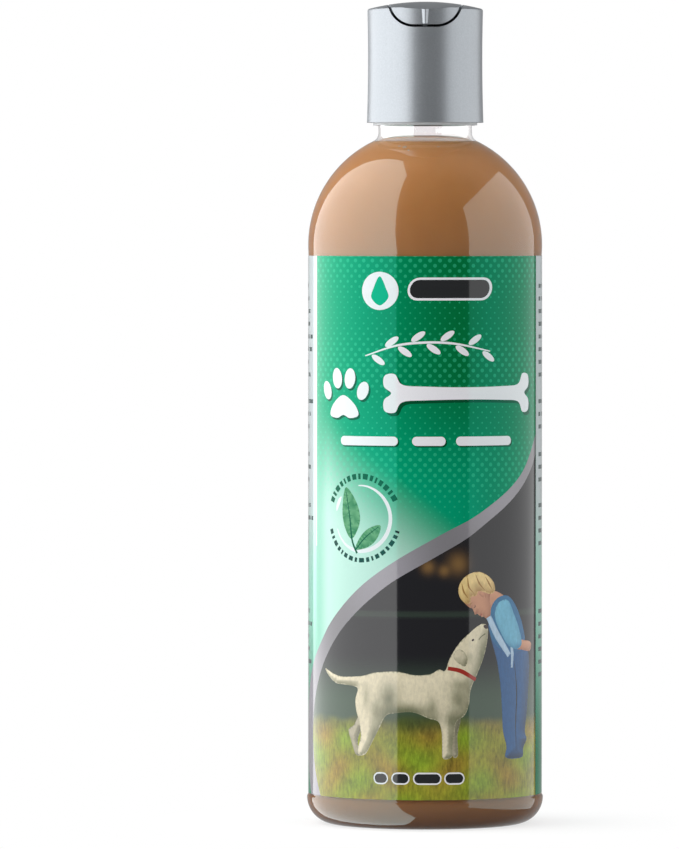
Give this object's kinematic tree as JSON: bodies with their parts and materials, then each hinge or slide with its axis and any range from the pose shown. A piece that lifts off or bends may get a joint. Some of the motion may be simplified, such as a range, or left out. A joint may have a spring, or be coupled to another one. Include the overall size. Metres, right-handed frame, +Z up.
{
  "type": "shampoo bottle",
  "caption": "Clear round-shouldered pet shampoo bottle with a wrap-round picture label, filled to the neck, and a silver screw-on disc-top closure whose disc tips up to pour.",
  "frame": {"origin": "centre of the base, on the surface the bottle stands on", "axes": "+Z up along the bottle; -Y towards the front, where the label's picture and the closure's spout face; +X to the right as seen from the front"},
  "size_m": [0.0626, 0.0626, 0.2177],
  "materials": {
    "clear_bottle": "clear, glossy, blow-moulded",
    "shampoo": "tan-brown pearly liquid",
    "label_film": "glossy printed film",
    "gasket_foam": "matt closed-cell foam",
    "closure_inner": "satin moulded",
    "closure_silver": "satin silver",
    "disc_silver": "satin silver"
  },
  "bodies": {
    "bottle_body": {"bottle": "clear_bottle", "shampoo": "shampoo", "label": "label_film"},
    "gasket_body": {"cap_gasket": "gasket_foam"},
    "closure_body": {"cap_body": "closure_inner", "cap_shell": "closure_silver"},
    "disc_body": {"disc_actuator": "disc_silver"}
  },
  "joints": [
    {"name": "cap_rise", "type": "slide", "parent": "bottle_body", "child": "gasket_body", "axis": [0, 0, 1], "range_m": [0, 0.0207]},
    {"name": "cap_turn", "type": "hinge", "parent": "gasket_body", "child": "closure_body", "pos_m": [0, 0, 0.2], "axis": [0, 0, 1], "range_deg": [0, 2340]},
    {"name": "disc_tilt", "type": "hinge", "parent": "closure_body", "child": "disc_body", "pos_m": [0, 0, 0.2138], "axis": [-1, 0, 0], "range_deg": [0, 25]}
  ],
  "couplings": [
    {"joint": "cap_rise", "follows": "cap_turn", "m_per_rad": 0.00050532}
  ]
}
